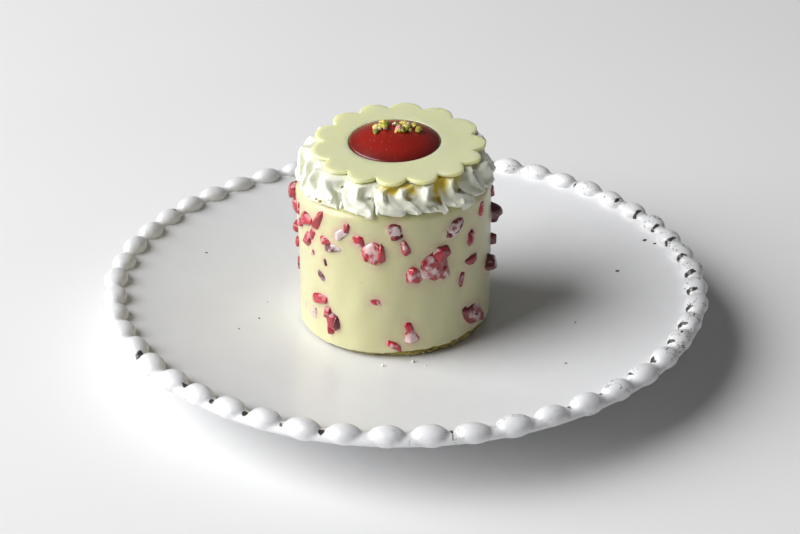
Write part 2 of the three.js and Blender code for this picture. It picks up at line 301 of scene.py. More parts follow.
def newGroup(name, inputs, output):
    group = bpy.data.node_groups.new(name, "ShaderNodeTree")
    for socketName, value in inputs.items():
        socket = group.interface.new_socket(
            name=socketName, in_out="INPUT", socket_type="NodeSocketFloat")
        socket.default_value = value
    group.interface.new_socket(name=output, in_out="OUTPUT", socket_type="NodeSocketFloat")
    start, end = group.nodes.new("NodeGroupInput"), group.nodes.new("NodeGroupOutput")
    return group, start.outputs, end.inputs[output]


# Soft clouds from 0 to 1: Size is in millimetres, Depth says how far they leave 0.5
def makeMottleGroup():
    group, given, result = newGroup("mottle", {"Size": 10.0, "Depth": 1.0, "Seed": 0.0}, "Value")
    clouds = addNode(
        group, "TexNoise", {"noise_dimensions": "4D"}, {"Detail": 3.0, "Roughness": 0.55})
    feed(group, clouds.inputs["Vector"], objectPlace(group))
    feed(group, clouds.inputs["Scale"], calc(group, "DIVIDE", 1 / mm, given["Size"]))
    feed(group, clouds.inputs["W"], given["Seed"])
    away = calc(group, "SUBTRACT", clouds.outputs["Fac"], 0.5)
    away = times(group, away, given["Depth"])
    feed(group, result, calc(group, "ADD", away, 0.5, clamp=True))
    return group


# Scattered round marks from 0 to 1: Spacing and Radius are in millimetres, Share says how many
# places hold one
def makeSpeckGroup():
    group, given, result = newGroup("specks", {"Spacing": 5.0, "Radius": 0.4, "Share": 0.3}, "Mask")
    cells, apart = addNode(group, "TexVoronoi"), addNode(group, "SeparateColor")
    feed(group, cells.inputs["Vector"], raggedPlace(group, 1500.0))
    feed(group, cells.inputs["Scale"], calc(group, "DIVIDE", 1 / mm, given["Spacing"]))
    feed(group, apart.inputs["Color"], cells.outputs["Color"])
    size = calc(group, "DIVIDE", given["Radius"], given["Spacing"])
    half = times(group, size, 0.5)
    dot = between(group, cells.outputs["Distance"], half, size, 1.0, 0.0, "SMOOTHSTEP")
    held = calc(group, "LESS_THAN", apart.outputs["Red"], given["Share"])
    feed(group, result, times(group, dot, held))
    return group


# One ragged round mark round an upright line: X, Y and Radius are in millimetres
def makeSpotGroup():
    group, given, result = newGroup("spot", {"X": 0.0, "Y": 0.0, "Radius": 0.5}, "Mask")
    x, y, radius = [times(group, given[name], mm) for name in ("X", "Y", "Radius")]
    away = awayFrom(group, raggedPlace(group, 1600.0), x, y)
    feed(group, result, between(group, calc(group, "DIVIDE", away, radius), 1.1, 0.8))
    return group


mottleGroup = makeMottleGroup()
speckGroup = makeSpeckGroup()
spotGroup = makeSpotGroup()


def mottle(tree, size, depth, seed=0.0):
    values = {"Size": size, "Depth": depth, "Seed": seed}
    return addNode(tree, "Group", {"node_tree": mottleGroup}, values).outputs["Value"]


def specks(tree, spacing, radius, share):
    values = {"Spacing": spacing, "Radius": radius, "Share": share}
    return addNode(tree, "Group", {"node_tree": speckGroup}, values).outputs["Mask"]


def spot(tree, across, inward, radius):
    values = {"X": across, "Y": inward, "Radius": radius}
    return addNode(tree, "Group", {"node_tree": spotGroup}, values).outputs["Mask"]


def newMaterial(name, finish):
    material = bpy.data.materials.new(name)
    material.use_nodes = True
    shader = material.node_tree.nodes["Principled BSDF"]
    for socketName, value in finish.items():
        shader.inputs[socketName].default_value = value
    return material, material.node_tree, shader


def roughen(tree, shader, size, low, high, depth=1.0):
    clouds = mottle(tree, size, depth, 3.0)
    tree.links.new(between(tree, clouds, 0.0, 1.0, low, high), shader.inputs["Roughness"])


def dress(tree, shader, colour, height, reach):  # reach is the height of the bump in millimetres
    bump = addNode(tree, "Bump", None, {"Distance": reach * mm})
    tree.links.new(height, bump.inputs["Height"])
    tree.links.new(bump.outputs["Normal"], shader.inputs["Normal"])
    tree.links.new(colour, shader.inputs["Base Color"])


# Camera
cameraSet = {
    "place": (0.0, -473.25, 271.32), "looksAt": (0.0, 0.0, 21.8),
    "lens": 70.11, "lean": -0.77, "shift": (-0.0055, 0.0051), "clip": (0.01, 20),
}


def turnTo(way):
    return way.to_track_quat("-Z", "Y").to_euler()


def placeCamera():
    place, aim = Vector(cameraSet["place"]) * mm, Vector(cameraSet["looksAt"]) * mm
    clearSelection()
    bpy.ops.object.camera_add(location=place, rotation=turnTo(aim - place))
    camera = bpy.context.object
    camera.rotation_euler.rotate_axis("Z", math.radians(cameraSet["lean"]))
    camera.data.lens = cameraSet["lens"]
    camera.data.shift_x, camera.data.shift_y = cameraSet["shift"]
    camera.data.clip_start, camera.data.clip_end = cameraSet["clip"]
    bpy.context.scene.camera = camera


placeCamera()

# Floor and light, in metres
roomSet = {
    "floorSize": 6, "floorColour": (0.86, 0.86, 0.86), "floorUneven": 1.04,
    "keyPlace": (-1.79, -0.26, 1.25), "keyAim": (0, 0, 0.02), "keySize": 2.5, "keyPower": 88.0,
    "roomLight": 0.1,
}


def layFloor():
    clearSelection()
    bpy.ops.mesh.primitive_plane_add(size=roomSet["floorSize"])
    floor = bpy.context.object
    floor.name = "floor"
    material, tree, shader = newMaterial("paleFloor", {"Roughness": 0.6, "Specular IOR Level": 0.2})
    low = roomSet["floorColour"]
    high = tuple(value * roomSet["floorUneven"] for value in low)
    tree.links.new(blend(tree, mottle(tree, 90.0, 1.0), low, high), shader.inputs["Base Color"])
    floor.data.materials.append(material)


def hangLights():
    place = Vector(roomSet["keyPlace"])
    clearSelection()
    turn = turnTo(Vector(roomSet["keyAim"]) - place)
    bpy.ops.object.light_add(type="AREA", location=place, rotation=turn)
    key = bpy.context.object
    key.name = "keyLight"
    key.data.shape = "DISK"
    key.data.size = roomSet["keySize"]
    key.data.energy = roomSet["keyPower"]
    world = bpy.data.worlds.new("softRoom")
    world.use_nodes = True
    background = world.node_tree.nodes["Background"]
    background.inputs["Color"].default_value = (1.0, 1.0, 1.0, 1.0)
    background.inputs["Strength"].default_value = roomSet["roomLight"]
    bpy.context.scene.world = world
    bpy.context.scene.view_settings.view_transform = "Standard"


layFloor()
hangLights()
print("camera, floor and light are set")

# Plate: a coupe on a foot ring, then a rim of beads on a roll
plateSet = {
    "rimRadius": 99.2, "rimHeight": 20.8, "waviness": 0.012, "sides": 240, "voxel": 0.5,
    "wellRadius": 41.0, "wellHeight": 11.0,
    "slopeRadius": 95.5, "slopeRise": 8.2, "slopePower": 1.25, "slopeSteps": 20,
    "dimple": 0.12, "footTop": 2.5,
    "under": [
        (0.8, 7.4), (25, 7.4), (50.6, 7.4), (52, 7.0), (52.5, 6.0), (52.8, 0.6), (53.5, 0.0),
        (56.4, 0.0), (57, 0.5), (57.5, 7.8), (58.4, 9.0), (61, 9.6), (70, 11.2), (78, 12.6),
        (86, 14.4), (92, 15.8)],
    "lip": [(-1.7, -3.9), (0.8, -1.8), (-1.2, -0.2)],
    "beads": 50, "beadForms": 5, "beadRoughness": 0.07, "beadSize": (12.3, 8.5, 6.9),
    "beadGrow": (0.95, 1.04), "firstTurn": 3.9, "beadLean": -5.0, "beadIn": 0.5, "beadHeight": 20.4,
    "rollRadius": 99.2, "rollPlace": 19.6, "rollWidth": 5.4, "rollHeight": 3.5,
}


def rimWave(turn):
    wave = math.cos(2 * turn - 0.9) + 0.7 * math.cos(4 * turn + 0.3)
    return 1 + plateSet["waviness"] * wave / 1.7


def outOfRound(point):  # the hand-made plate isn't a true circle, but its foot stays level
    share = math.hypot(point.x, point.y) / plateSet["rimRadius"]
    grow = 1 + (rimWave(turnOf(point)) - 1) * min(share, 1.1) ** 4
    dimple = plateSet["dimple"] * math.sin(point.x / 17 + 1.3) * math.sin(point.y / 21)
    rise = dimple * min(1, share) if point.z > plateSet["footTop"] else 0
    return point.x * grow, point.y * grow, point.z + rise


def plateProfile():
    well, edge, steps = plateSet["wellHeight"], plateSet["wellRadius"], plateSet["slopeSteps"]
    lip = [(plateSet["rimRadius"] + out, plateSet["rimHeight"] + up) for out, up in plateSet["lip"]]
    slope = []
    for index in range(steps + 1):  # from the rim down to the well
        share = 1 - index / steps
        rise = plateSet["slopeRise"] * share ** plateSet["slopePower"]
        slope.append((edge + (plateSet["slopeRadius"] - edge) * share, well + rise))
    return plateSet["under"] + lip + slope + [(32, well), (18, well), (6, well), (0.8, well)]


def makePlateDish():
    dish = ringUp("plate_dish", plateProfile(), plateSet["sides"])
    return reshape(dish, outOfRound)


def makeBeadRim():
    pick = random.Random(11)
    forms, beads = plateSet["beadForms"], []
    lumps = [modelLump(2, plateSet["beadRoughness"], seed + 3, levels=1) for seed in range(forms)]
    for index in range(plateSet["beads"]):
        turn = plateSet["firstTurn"] + index * 360 / plateSet["beads"]
        bead = twinOf(lumps[index % forms])
        grows = [pick.uniform(*plateSet["beadGrow"]) for side in range(3)]
        bead.scale = [side / 2 * grow for side, grow in zip(plateSet["beadSize"], grows)]
        lean = plateSet["beadLean"] + jitter(pick, 3)
        bead.rotation_euler = (jitter(pick, 0.12), jitter(pick, 0.06), math.radians(turn + lean))
        radius = plateSet["rimRadius"] * rimWave(math.radians(turn)) - plateSet["beadIn"]
        radius += jitter(pick, 0.3)
        bead.location = around(turn, radius, plateSet["beadHeight"] + jitter(pick, 0.15))
        beads.append(bead)
    clearSelection()
    bpy.ops.mesh.primitive_torus_add(
        major_segments=200, minor_segments=16, major_radius=plateSet["rollRadius"] * mm,
        minor_radius=plateSet["rollWidth"] / 2 * mm, location=(0, 0, plateSet["rollPlace"] * mm))
    roll = bpy.context.object
    roll.scale.z = plateSet["rollHeight"] / plateSet["rollWidth"]
    reshape(settle(roll), outOfRound)
    throwAway(*lumps)
    rim = settle(joinUp("plate_beads", [roll, *beads]))
    return melt(rim, plateSet["voxel"], 2)


# Dark places on the rim: worn chips, and dark patches in the gaps on the inner side of the right
# and back beads that are partly painted shade.
# Each gives turn, distance from the plate's middle, length along and width across the rim
rimChipsAndShade = [
    (-57.3, 100, 1.7, 1.7), (-42.9, 98.6, 1.3, 1.4), (-35.7, 99.8, 1.0, 1.2),
    (-28.5, 99.8, 1.0, 1.2), (-21.3, 100, 0.9, 1.0), (-14.1, 100, 1.0, 1.1), (7.5, 99, 0.35, 2.6),
    (29.1, 98, 0.6, 1.5), (36.3, 97.6, 0.6, 1.7), (51.5, 97, 1.0, 2.1), (44.6, 96.6, 0.5, 1.9),
    (59.2, 96.6, 0.6, 2.4), (66.4, 96.8, 0.6, 2.6), (73.4, 96.6, 0.7, 2.4), (80.7, 97, 0.7, 2.6),
    (87.9, 96.8, 0.8, 2.6), (95, 97, 0.7, 2.4), (102.4, 97, 0.8, 2.2), (109.4, 97, 0.6, 2.2),
    (116.7, 97, 0.7, 2.0), (124, 97.4, 0.7, 1.8), (54.6, 99.4, 1.6, 0.35), (62, 99, 1.3, 0.4),
    (69.5, 99.6, 1.7, 0.3), (84, 99.8, 1.5, 0.35), (98.5, 99.4, 1.2, 0.4), (-86, 97, 0.6, 1.2),
    (-71.7, 97, 0.7, 1.2), (137, 97.5, 0.6, 1.4), (-120, 98, 0.5, 1.6), (-158, 98, 0.5, 1.4),
    (174, 98, 0.4, 1.6),
]
# Specks on the dish: across, inwards, radius
dishSpecks = [
    (-71, 28, 0.5), (-49, -14, 0.45), (-55, -23, 0.35), (51, -51, 0.5), (57, -22, 0.4),
    (75, 10, 0.7), (87, 28, 0.8), (90, 24.5, 0.6), (-20, 70, 0.5), (34, 62, 0.4),
]


def markRimWearAndShade(rim):  # marks the worn places and the painted shade in the bead gaps, strongest in their middles
    x, y, z = pointsOf(rim)
    chipAndShade = numpy.zeros(len(z))
    for turn, radius, length, width in rimChipsAndShade:
        along = turnsFrom(x, y, turn) * radius
        out = numpy.hypot(x, y) - radius * rimWave(math.radians(turn))
        near = numpy.clip(1.5 - numpy.hypot(along / length, out / width), 0, 1)
        chipAndShade = numpy.maximum(chipAndShade, near)
    mark(rim, "chipAndShade", chipAndShade * (z > plateSet["rollPlace"] - 2))


def beadMarksAndShade(tree):
    uneven = calc(tree, "SUBTRACT", mottle(tree, 1.6, 2.0, 4.0), 0.5)
    # worn chips and the painted shade in the gaps between beads turn dark here
    wornAndShaded = between(tree, calc(tree, "ADD", attribute(tree, "chipAndShade"), uneven), 0.5, 0.75)
    marks = calc(tree, "MAXIMUM", wornAndShaded, specks(tree, 17.0, 0.3, 0.1))
    # thin dark scratches, mostly on the right
    line = calc(tree, "ABSOLUTE", calc(tree, "SUBTRACT", mottle(tree, 3.4, 1.0, 11.0), 0.5))
    patches = between(tree, mottle(tree, 8.0, 2.0, 13.0), 0.5, 0.62)
    right = between(tree, splitPlace(tree, objectPlace(tree))["X"], -0.02, 0.07, 0.12, 0.9)
    scratch = times(tree, between(tree, line, 0.016, 0.004), patches)
    return calc(tree, "MAXIMUM", marks, times(tree, scratch, right))


def dishMarks(tree):
    marks = specks(tree, 16.0, 0.34, 0.08)
    for across, inward, radius in dishSpecks:
        marks = calc(tree, "MAXIMUM", marks, spot(tree, across, inward, radius))
    return marks


def makePorcelain(name, marksOn):
    material, tree, shader = newMaterial(name, {"Coat Weight": 0.2, "Coat Roughness": 0.12})
    colour = blend(tree, mottle(tree, 24.0, 1.4), (0.795, 0.80, 0.815), (0.86, 0.865, 0.88))
    # the marks are dark; on the beads they include painted shade in the gaps between beads
    colour = blend(tree, marksOn(tree), colour, (0.05, 0.047, 0.04))
    roughen(tree, shader, 12.0, 0.24, 0.4)
    dress(tree, shader, colour, mottle(tree, 7.0, 1.0, 2.0), 0.12)
    return material


plateDish = makePlateDish()
beadRim = makeBeadRim()
markRimWearAndShade(beadRim)
finishPiece(plateDish, makePorcelain("dish porcelain", dishMarks), "plate")
finishPiece(beadRim, makePorcelain("bead porcelain", beadMarksAndShade), "plate")
print("plate made")

# Fruit bits: turn, height, width, length, how far proud, lean, tone (0 red to 1 maroon) and
# film of glaze (0 to 1)
fruitBits = [
    # the left side
    (-88, 44.5, 5, 4, 2.0, 0, 0.0, 0.3), (-71, 50.4, 5.5, 3.4, 1.3, -30, 0.05, 0.4),
    (-60, 54.4, 7.5, 5, 1.7, -25, 0.0, 0.15), (-47, 57, 3.4, 8.6, 1.5, 33, 0.15, 0.15),
    (-59.5, 47.2, 4.6, 5.4, 1.6, 44, 0.0, 0.2), (-53.5, 50.6, 3.6, 5, 1.3, 44, 0.1, 0.5),
    (-42.5, 50.5, 4.6, 3.8, 1.3, -20, 0.05, 0.5), (-54, 43.8, 2.7, 2.3, 0.7, 0, 0.2, 0.5),
    (-43, 42.5, 2.0, 3.4, 0.8, -15, 1.0, 0.15), (-47, 36.9, 4.6, 2.4, 0.9, 35, 1.0, 0.55),
    (-37, 48.6, 6.8, 3.4, 1.2, -20, 0.9, 0.65), (-31.5, 54.4, 6.4, 3.2, 1.2, -38, 0.7, 0.95),
    (-27, 57, 2.8, 4.4, 1.4, 15, 0.4, 0.0), (-20, 53.2, 4.6, 4.6, 1.2, 0, 0.0, 0.3),
    (-87, 58, 6, 6.5, 2.8, 10, 0.3, 0.45), (-85, 53.4, 5, 5, 1.4, 0, 0.0, 0.35),
    (-73, 55, 1.6, 6, 0.7, 10, 0.1, 0.4), (-87, 39.3, 4, 3.6, 1.4, 0, 0.1, 0.5),
    (-50, 27.7, 7.6, 4.2, 1.1, -20, 0.0, 0.1), (-56, 21.6, 3.4, 4.8, 0.5, 20, 0.1, 0.9),
    (-43, 24, 3.6, 5, 1.4, 25, 0.0, 0.35), (-39.5, 21.5, 5.2, 6.6, 1.7, 0, 0.3, 0.2),
    (-36, 21.5, 2.4, 5, 1.5, 0, 1.0, 0.0), (-41.5, 18.4, 2.6, 3.6, 1.1, -20, 0.2, 0.1),
    (-68, 21, 2.6, 4, 0.3, 0, 0.1, 0.95), (-88, 30.6, 1.6, 1.6, 0.8, 0, 1.0, 0.0),
    # the middle
    (-11.5, 49.4, 8, 8.6, 1.6, 8, 0.0, 0.58), (-7, 49.8, 2.6, 6.4, 1.8, 0, 0.0, 0.0),
    (-16, 48, 2.2, 4, 1.5, -10, 0.0, 0.1), (0.6, 57.6, 4.8, 4.6, 1.4, 0, 0.6, 0.95),
    (2, 55.4, 3.8, 2.6, 1.4, -20, 0.8, 0.1), (6.3, 51.7, 3.1, 5.6, 1.2, -14, 0.1, 0.5),
    (7.4, 49.8, 1.7, 2.4, 1.2, 0, 0.0, 0.0), (2, 48.9, 1.0, 1.0, 0.4, 0, 1.0, 0.0),
    (11.3, 41.4, 5.2, 6.2, 1.4, -12, 0.1, 0.55), (10.6, 43.2, 3.4, 2.8, 1.8, 0, 0.0, 0.0),
    (13.2, 39.6, 2.4, 2.2, 1.5, 0, 0.0, 0.1), (-10.5, 32.3, 5.2, 3.4, 0.9, 0, 0.05, 0.6),
    (24, 43.6, 10, 11, 1.5, 8, 0.3, 0.55), (27.6, 47.6, 6.4, 4.6, 2.0, -20, 0.35, 0.15),
    (24, 44.5, 3, 6, 2.0, -12, 0.3, 0.0), (19, 45.6, 4, 3, 1.3, -20, 0.2, 0.6),
    (18.6, 41.8, 4.6, 5, 1.2, 0, 0.1, 0.85), (29.4, 41, 4.4, 5, 1.5, 0, 0.5, 0.65),
    (24, 39.8, 4, 1.8, 1.4, -5, 0.0, 0.0), (8.2, 22.6, 3, 5, 1.4, -14, 0.0, 0.2),
    (9.6, 19.3, 4.6, 5.4, 1.4, -14, 0.15, 0.65), (-0.5, 16.5, 6, 2.5, 1.2, 33, 0.0, 0.6),
    # the right side
    (37.5, 55, 9, 5, 1.5, -28, 0.7, 0.7), (38, 54.8, 5.5, 1.6, 2.1, -40, 0.9, 0.0),
    (33.4, 53.4, 2.4, 2.4, 1.6, 0, 1.0, 0.0), (50.5, 49.3, 3.6, 5.4, 1.3, 10, 0.35, 0.3),
    (51, 41, 7, 3.6, 1.5, -8, 0.45, 0.25), (42.5, 35.8, 2.6, 6, 1.0, 22, 0.5, 0.2),
    (75, 33.8, 9, 6.2, 3.6, 0, 0.9, 0.3), (87, 39.5, 3.6, 4, 2.3, 0, 0.8, 0.2),
    (87, 49, 7, 7, 3.9, 0, 1.0, 0.3), (85, 57.2, 5, 5, 1.8, 0, 0.3, 0.2),
    (62, 57, 4.2, 6.5, 1.0, 12, 0.1, 0.4), (53, 20.4, 11.5, 7.8, 1.6, 20, 0.5, 0.5),
    (46, 22.4, 3.6, 5, 1.9, 0, 0.8, 0.0), (61.5, 17.8, 5, 4, 1.6, 20, 0.3, 0.35),
    (54, 20.6, 5, 1.4, 2.0, 30, 0.8, 0.0),
    # the side that the front view doesn't show
    (100.1, 56.7, 3.7, 3.7, 1, 0, 0.2, 0.4), (104.6, 31.3, 7.2, 6.8, 1.1, 20, 0.4, 0.5),
    (112.4, 49.2, 4.6, 4.7, 1.4, 0, 0.1, 0.3), (118.3, 56.6, 3.7, 4.1, 0.8, 0, 0.7, 0.6),
    (125.6, 37.9, 8.2, 5.8, 0.9, -20, 0.2, 0.5), (131.1, 53.1, 3.5, 3.3, 0.9, 0, 0.0, 0.2),
    (136.1, 26, 8.6, 6.4, 1.3, 15, 0.5, 0.5), (142, 43.6, 3.5, 3.5, 1.5, 0, 0.9, 0.6),
    (149.6, 56.9, 6, 7.1, 1.2, 30, 0.2, 0.4), (156, 34.3, 3.9, 3.1, 1.1, 0, 0.1, 0.3),
    (162, 49.3, 6.5, 5.8, 1.1, -25, 0.3, 0.6), (168.3, 26.9, 6.7, 7.5, 1.1, 10, 0.7, 0.4),
    (171.5, 40.7, 4.9, 4, 1.2, 0, 0.1, 0.3), (177.7, 53.9, 6.8, 6.1, 1, 35, 0.2, 0.5),
    (182.9, 32.6, 3.6, 2.7, 0.8, 0, 0.9, 0.7), (189.2, 42.2, 3.7, 4.2, 0.8, 0, 0.2, 0.4),
    (195.9, 22.6, 7.8, 7.2, 1.5, -10, 0.3, 0.4), (202.2, 38.8, 4.2, 4.5, 1.4, 0, 0.6, 0.6),
    (208, 48.6, 4, 3.4, 1.5, 0, 0.1, 0.3), (213.4, 21.9, 5.6, 5.6, 1.4, 20, 0.2, 0.5),
    (218.5, 45.2, 3.7, 3.3, 1.2, 0, 0.8, 0.7), (227.8, 54.4, 4.1, 3.1, 1.3, 0, 0.1, 0.3),
    (230.8, 27.5, 7, 5.8, 1.3, 25, 0.4, 0.5), (239.4, 45.8, 8.4, 7.9, 1.5, -15, 0.2, 0.5),
    (244.3, 18.8, 3.5, 3.9, 1.4, 0, 0.1, 0.2), (248.2, 36.7, 4.1, 4.8, 1.5, 0, 0.5, 0.5),
    (253.7, 53.3, 4.1, 4.2, 1.1, 0, 0.9, 0.6), (262.6, 28.8, 5, 5.4, 1.5, 0, 0.2, 0.4),
]

# Glaze: a smooth coat with a ragged foot, thickened round every bit
coatSet = {
    "radius": 32.0, "top": 61.9, "shoulder": 2.2, "skirt": 1.3, "under": 14.7, "sideFrom": 15.7,
    "footLow": 11.6, "footHigh": 14.2, "bareTurn": 38, "sides": 200, "voxel": 0.5, "collar": 0.8,
    "stainReach": 0.9,
}


def glazeFoot(turn):  # the coat stops short of the biscuit's foot at the front right
    low, high = coatSet["footLow"], coatSet["footHigh"]
    bare = max(0, math.cos(turn - math.radians(coatSet["bareTurn"]))) ** 1.5
    ragged = 0.25 * math.sin(9 * turn) + 0.2 * math.sin(17 * turn + 1)
    fine = 0.16 * math.sin(31 * turn + 0.4) + 0.12 * math.sin(53 * turn)
    return low + (high - low) * bare * 0.85 + 0.45 * (ragged + 0.45) + fine * bare


def coatWave(point):  # the coat swells and drips a little, and its lowest points follow the foot
    turn, reach = turnOf(point), math.hypot(point.x, point.y)
    height = glazeFoot(turn) if point.z < 1 else point.z
    if reach < coatSet["radius"] - coatSet["shoulder"]:
        return point.x, point.y, height
    swell = 0.22 * math.sin(3 * turn + height / 17) + 0.16 * math.sin(7 * turn - height / 9)
    swell += 0.1 * math.sin(19 * turn + 2 * math.sin(height / 8)) * math.sin(height / 6 + turn)
    grow = 1 + swell / coatSet["radius"]
    return point.x * grow, point.y * grow, height


def makeCoatBody():
    radius, top, shoulder = coatSet["radius"], coatSet["top"], coatSet["shoulder"]
    inner, under, start = radius - coatSet["skirt"], coatSet["under"], coatSet["sideFrom"]
    profile = [(0.8, under), (16, under), (inner, under), (inner, 0.2)]
    profile += [(radius - 0.35, 0.0), (radius - 0.05, 0.6)]
    profile += [(radius, start + (top - shoulder - start) * index / 16) for index in range(16)]
    for angle in map(math.radians, (0, 20, 40, 60, 80, 90)):
        out, up = 1 - math.cos(angle), 1 - math.sin(angle)
        profile.append((radius - shoulder * out, top - shoulder * up))
    coat = ringUp("glaze_coat", profile + [(16, top), (0.8, top)], coatSet["sides"])
    return reshape(coat, coatWave)


def collarOf(lump, bit):  # glaze that climbs part of the way up a bit
    turn, height, wide, tall, proud, lean = bit[:6]
    film = bit[7]
    rise = proud * (0.2 + 0.25 * film)
    depth, grow = rise + 1.2, coatSet["collar"]
    collar = twinOf(lump)
    collar.scale = (wide / 2 + grow, depth, tall / 2 + grow)
    collar.rotation_euler = (0, math.radians(lean), math.radians(turn))
    slip = 0.25 + 0.3 * film
    slipTurn = math.degrees(slip / coatSet["radius"])
    collar.location = around(turn - slipTurn, coatSet["radius"] + rise - depth, height - slip)
    return collar


def makeCoat():
    body = makeCoatBody()
    lump = modelLump(2, 0.05, 1, levels=1)
    collars = [collarOf(lump, bit) for bit in fruitBits]
    throwAway(lump)
    coat = settle(joinUp("glaze_coat", [body, *collars]))
    return ontoAxis(melt(coat, coatSet["voxel"], 5))


def stainCoat(coat):  # marks where the fruit shows through, strongest at the middle of each bit
    x, y, z = pointsOf(coat)
    x, y = x - cakeX, y - cakeY
    stain = numpy.zeros(len(z))
    for turn, height, wide, tall, proud, lean in [bit[:6] for bit in fruitBits]:
        across, up = turnsFrom(x, y, turn) * coatSet["radius"], z - height
        sine, cosine = math.sin(math.radians(lean)), math.cos(math.radians(lean))
        along, over = across * cosine - up * sine, across * sine + up * cosine
        halfWide, halfTall = [side / 2 + coatSet["stainReach"] for side in (wide, tall)]
        away = numpy.hypot(along / halfWide, over / halfTall)
        stain = numpy.maximum(stain, numpy.clip(1.5 - away, 0, 1) * min(1, proud))
    mark(coat, "stain", stain * (numpy.hypot(x, y) > coatSet["radius"] - 1.5))


def makeGlaze():
    material, tree, shader = newMaterial("pale glaze", {
        "Coat Weight": 0.7, "Coat Roughness": 0.4, "Sheen Weight": 0.3, "Sheen Roughness": 0.5,
        "Subsurface Weight": 0.3, "Subsurface Radius": (1.0, 0.85, 0.4), "Subsurface Scale": 0.003})
    colour = blend(tree, mottle(tree, 14.0, 1.3), (0.63, 0.605, 0.305), (0.70, 0.68, 0.39))
    patches = between(tree, mottle(tree, 2.6, 2.0, 5.0), 0.25, 0.7, 0.1, 0.6)
    stain = times(tree, attribute(tree, "stain"), patches)
    colour = blend(tree, stain, colour, (0.66, 0.34, 0.30))
    colour = blend(tree, specks(tree, 7.0, 0.2, 0.1), colour, (0.25, 0.10, 0.06))
    roughen(tree, shader, 9.0, 0.32, 0.46)
    dress(tree, shader, colour, mottle(tree, 3.5, 1.0, 2.0), 0.1)
    return material


cakeCoat = makeCoat()
stainCoat(cakeCoat)
finishPiece(cakeCoat, makeGlaze(), "glazed_cake")
print("glaze made")


# Chopped fruit: a few rough lumps modelled once, then copied into the coat
fruitSet = {"largeFrom": 38, "smallGrow": 1.25, "root": 0.9, "uneven": 0.05}


def makeFruit():
    pick = random.Random(5)
    lumps = [modelLump(2, 0.3, seed + 20, crease=0.35) for seed in range(4)]
    lumps += [modelLump(1, 0.35, seed + 40, crease=0.5, levels=3) for seed in range(4)]
    bits = []
    for index, (turn, height, wide, tall, proud, lean, tone, film) in enumerate(fruitBits):
        large = wide * tall > fruitSet["largeFrom"]
        bit = twinOf(lumps[index % 4 + (0 if large else 4)])
        grow = 1.0 if large else fruitSet["smallGrow"]
        depth = proud + fruitSet["root"]
        bit.scale = (wide / 2 * grow, depth, tall / 2 * grow)
        bit.rotation_euler = (0, math.radians(lean), math.radians(turn))
        bit.location = around(turn, coatSet["radius"] + proud - depth, height)
        vertices = bit.data.vertices
        for name, value in (("tone", tone), ("film", film)):
            shade = min(1.0, max(0.0, value + jitter(pick, fruitSet["uneven"])))
            mark(bit, name, [shade] * len(vertices))
        # 1 at the top of a bit, 0 round its waist
        mark(bit, "outward", [-vertex.co.y / mm for vertex in vertices])
        bits.append(bit)
    throwAway(*lumps)
    return ontoAxis(settle(joinUp("fruit_bits", bits)))


def makeFruitFlesh():
    material, tree, shader = newMaterial("berry flesh", {
        "Roughness": 0.22, "Coat Weight": 0.8, "Coat Roughness": 0.08, "Subsurface Weight": 0.15,
        "Subsurface Radius": (1.0, 0.25, 0.2), "Subsurface Scale": 0.0015})
    tone, outward = attribute(tree, "tone"), attribute(tree, "outward")
    flesh = blend(tree, tone, (0.62, 0.008, 0.030), (0.085, 0.006, 0.012))
    dark = times(tree, mottle(tree, 1.5, 2.4, 2.0), 0.55)
    flesh = blend(tree, dark, flesh, (0.16, 0.004, 0.014))
    # a film of glaze covers a bit in patches, mostly over its top; its whitish colour there is
    # partly a painted highlight
    patches = calc(tree, "SUBTRACT", mottle(tree, 2.8, 2.6, 9.0), 0.5)
    film = calc(tree, "ADD", attribute(tree, "film"), patches)
    film = calc(tree, "ADD", film, between(tree, outward, 0.3, 0.95, -0.4, 0.06))
    filmAndHighlight = times(tree, between(tree, film, 0.38, 0.74), 0.88)
    colour = blend(tree, filmAndHighlight, flesh, blend(tree, tone, (0.88, 0.66, 0.64), (0.76, 0.66, 0.66)))
    # and its waist is painted darker: painted shade where the bit dips into the coat
    patches = between(tree, mottle(tree, 2.2, 2.0, 14.0), 0.35, 0.6)
    edge = times(tree, between(tree, outward, 0.62, 0.3), patches)
    colour = blend(tree, times(tree, edge, 0.75), colour, (0.09, 0.005, 0.012))
    dress(tree, shader, colour, mottle(tree, 0.9, 1.4, 6.0), 0.25)
    return material


fruit = makeFruit()
finishPiece(fruit, makeFruitFlesh(), "glazed_cake")
print("fruit made")

# Biscuit: a thin crumbly round under the coat, with ragged lumps where the coat stops short
biscuitSet = {
    "radius": 30.3, "bottom": 11.3, "top": 14.4, "sides": 300, "roughness": 0.16,
    "crumbs": 46, "crumbSize": (0.45, 0.85),
    "crumbTurn": (2, 62), "crumbRadius": (30.2, 31.1), "crumbHeight": (11.9, 13.4),
}


def crumble(point):
    reach = math.hypot(point.x, point.y)
    if reach < biscuitSet["radius"] / 2:
        return point
    turn = turnOf(point)
    swell = 0.3 * math.sin(11 * turn + point.z) + 0.22 * math.sin(29 * turn - 2 * point.z)
    grow = 1 + (swell + 0.12 * math.sin(61 * turn + 3 * point.z)) / reach
    return point.x * grow, point.y * grow, point.z


def looseCrumb():
    pick = random.Random(61)
    lumps = [modelLump(1, 0.4, seed + 80, levels=1) for seed in range(3)]
    crumbs = []
    for index in range(biscuitSet["crumbs"]):
        crumb = twinOf(lumps[index % 3])
        crumb.scale = [pick.uniform(*biscuitSet["crumbSize"]) for side in range(3)]
        crumb.rotation_euler = [pick.uniform(0, 3) for side in range(3)]
        ranges = [biscuitSet[name] for name in ("crumbTurn", "crumbRadius", "crumbHeight")]
        crumb.location = around(*[pick.uniform(low, high) for low, high in ranges])
        crumbs.append(settle(crumb))
    throwAway(*lumps)
    return crumbs


